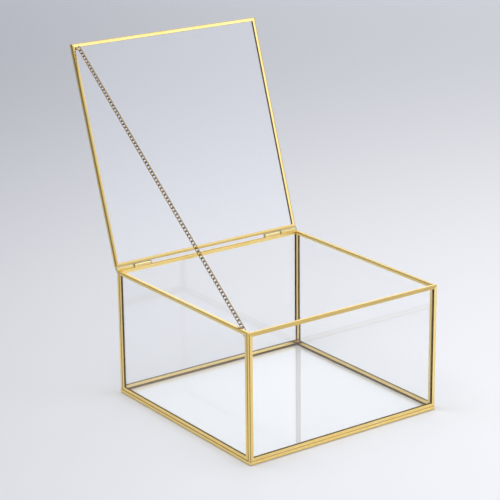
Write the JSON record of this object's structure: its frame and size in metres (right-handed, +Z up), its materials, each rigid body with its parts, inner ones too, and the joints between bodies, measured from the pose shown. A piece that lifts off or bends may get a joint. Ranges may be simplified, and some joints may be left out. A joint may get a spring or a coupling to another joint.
{
  "type": "wedding card box",
  "caption": "Square clear glass card box edged in folded brass channel, with a hinged glass lid held open by a fine brass chain.",
  "frame": {"origin": "On the table, under the middle of the bottom panel's front rail", "axes": "X across the front, to the right as seen from in front of it; Y from the front to the hinged back; Z up"},
  "size_m": [0.25, 0.3369, 0.3869],
  "materials": {
    "edge_brass": "satin",
    "hinge_brass": "satin",
    "eye_brass": "satin",
    "chain_brass": "polished",
    "clear_glass": "polished"
  },
  "bodies": {
    "box": {"bottom_front_rail": "edge_brass", "bottom_back_rail": "edge_brass", "bottom_left_rail": "edge_brass", "bottom_right_rail": "edge_brass", "bottom_glass": "clear_glass", "front_bottom_rail": "edge_brass", "front_top_rail": "edge_brass", "front_left_rail": "edge_brass", "front_right_rail": "edge_brass", "front_glass": "clear_glass", "back_bottom_rail": "edge_brass", "back_top_rail": "edge_brass", "back_left_rail": "edge_brass", "back_right_rail": "edge_brass", "back_glass": "clear_glass", "left_bottom_rail": "edge_brass", "left_top_rail": "edge_brass", "left_front_rail": "edge_brass", "left_back_rail": "edge_brass", "left_glass": "clear_glass", "right_bottom_rail": "edge_brass", "right_top_rail": "edge_brass", "right_front_rail": "edge_brass", "right_back_rail": "edge_brass", "right_glass": "clear_glass", "left_hinge_box_knuckle": "hinge_brass", "left_hinge_pin": "hinge_brass", "right_hinge_box_knuckle": "hinge_brass", "right_hinge_pin": "hinge_brass", "box_chain_eye": "eye_brass"},
    "lid": {"lid_front_rail": "edge_brass", "lid_hinge_rail": "edge_brass", "lid_left_rail": "edge_brass", "lid_right_rail": "edge_brass", "lid_glass": "clear_glass", "left_hinge_lid_knuckle": "hinge_brass", "right_hinge_lid_knuckle": "hinge_brass", "lid_chain_eye": "eye_brass"},
    "chain_run_1": {"chain_run_1": "chain_brass"},
    "chain_run_2": {"chain_run_2": "chain_brass"},
    "chain_run_3": {"chain_run_3": "chain_brass"},
    "chain_run_4": {"chain_run_4": "chain_brass"},
    "chain_run_5": {"chain_run_5": "chain_brass"},
    "chain_run_6": {"chain_run_6": "chain_brass"},
    "chain_run_7": {"chain_run_7": "chain_brass"},
    "chain_run_8": {"chain_run_8": "chain_brass"},
    "chain_run_9": {"chain_run_9": "chain_brass"}
  },
  "joints": [
    {"name": "lid_hinge", "type": "hinge", "parent": "box", "child": "lid", "pos_m": [0, 0.25105, 0.1465], "axis": [1, 0, 0], "range_deg": [0, 108.46], "deforming": ["chain_run_1", "chain_run_2", "chain_run_3", "chain_run_4", "chain_run_5", "chain_run_6", "chain_run_7", "chain_run_8", "chain_run_9"]},
    {"name": "chain_turn_1", "type": "hinge", "parent": "box", "child": "chain_run_1", "pos_m": [-0.1182, 0.00695, 0.1355], "axis": [1, 0, 0], "range_deg": [-127.89, 0]},
    {"name": "chain_turn_2", "type": "hinge", "parent": "chain_run_1", "child": "chain_run_2", "pos_m": [-0.1182, 0.10099, 0.20855], "axis": [1, 0, 0], "range_deg": [0, 38.45]},
    {"name": "chain_turn_3", "type": "hinge", "parent": "chain_run_2", "child": "chain_run_3", "pos_m": [-0.1182, 0.11171, 0.21688], "axis": [1, 0, 0], "range_deg": [0, 51.65]},
    {"name": "chain_turn_4", "type": "hinge", "parent": "chain_run_3", "child": "chain_run_4", "pos_m": [-0.1182, 0.16534, 0.25854], "axis": [1, 0, 0], "range_deg": [0, 45.05]},
    {"name": "chain_turn_9", "type": "hinge", "parent": "lid", "child": "chain_run_9", "pos_m": [-0.1182, 0.32572, 0.38313], "axis": [1, 0, 0], "range_deg": [0, 23.19]},
    {"name": "chain_turn_8", "type": "hinge", "parent": "chain_run_9", "child": "chain_run_8", "pos_m": [-0.1182, 0.31191, 0.37241], "axis": [1, 0, 0], "range_deg": [-75.45, 0]},
    {"name": "chain_turn_7", "type": "hinge", "parent": "chain_run_8", "child": "chain_run_7", "pos_m": [-0.1182, 0.21896, 0.3002], "axis": [1, 0, 0], "range_deg": [0, 41.02]},
    {"name": "chain_turn_6", "type": "hinge", "parent": "chain_run_7", "child": "chain_run_6", "pos_m": [-0.1182, 0.20824, 0.29187], "axis": [1, 0, 0], "range_deg": [0, 45.05]},
    {"name": "chain_turn_5", "type": "hinge", "parent": "chain_run_6", "child": "chain_run_5", "pos_m": [-0.1182, 0.17249, 0.2641], "axis": [1, 0, 0], "range_deg": [-45.05, 0]}
  ],
  "couplings": [
    {"joint": "chain_turn_1", "follows": "lid_hinge", "ratio": -1.1787},
    {"joint": "chain_turn_2", "follows": "lid_hinge", "ratio": 0.35405},
    {"joint": "chain_turn_3", "follows": "lid_hinge", "ratio": 0.47575},
    {"joint": "chain_turn_4", "follows": "lid_hinge", "ratio": 0.4149},
    {"joint": "chain_turn_9", "follows": "lid_hinge", "ratio": 0.21332},
    {"joint": "chain_turn_8", "follows": "lid_hinge", "ratio": -0.69522},
    {"joint": "chain_turn_7", "follows": "lid_hinge", "ratio": 0.3777},
    {"joint": "chain_turn_6", "follows": "lid_hinge", "ratio": 0.4149},
    {"joint": "chain_turn_5", "follows": "lid_hinge", "ratio": -0.4149}
  ]
}
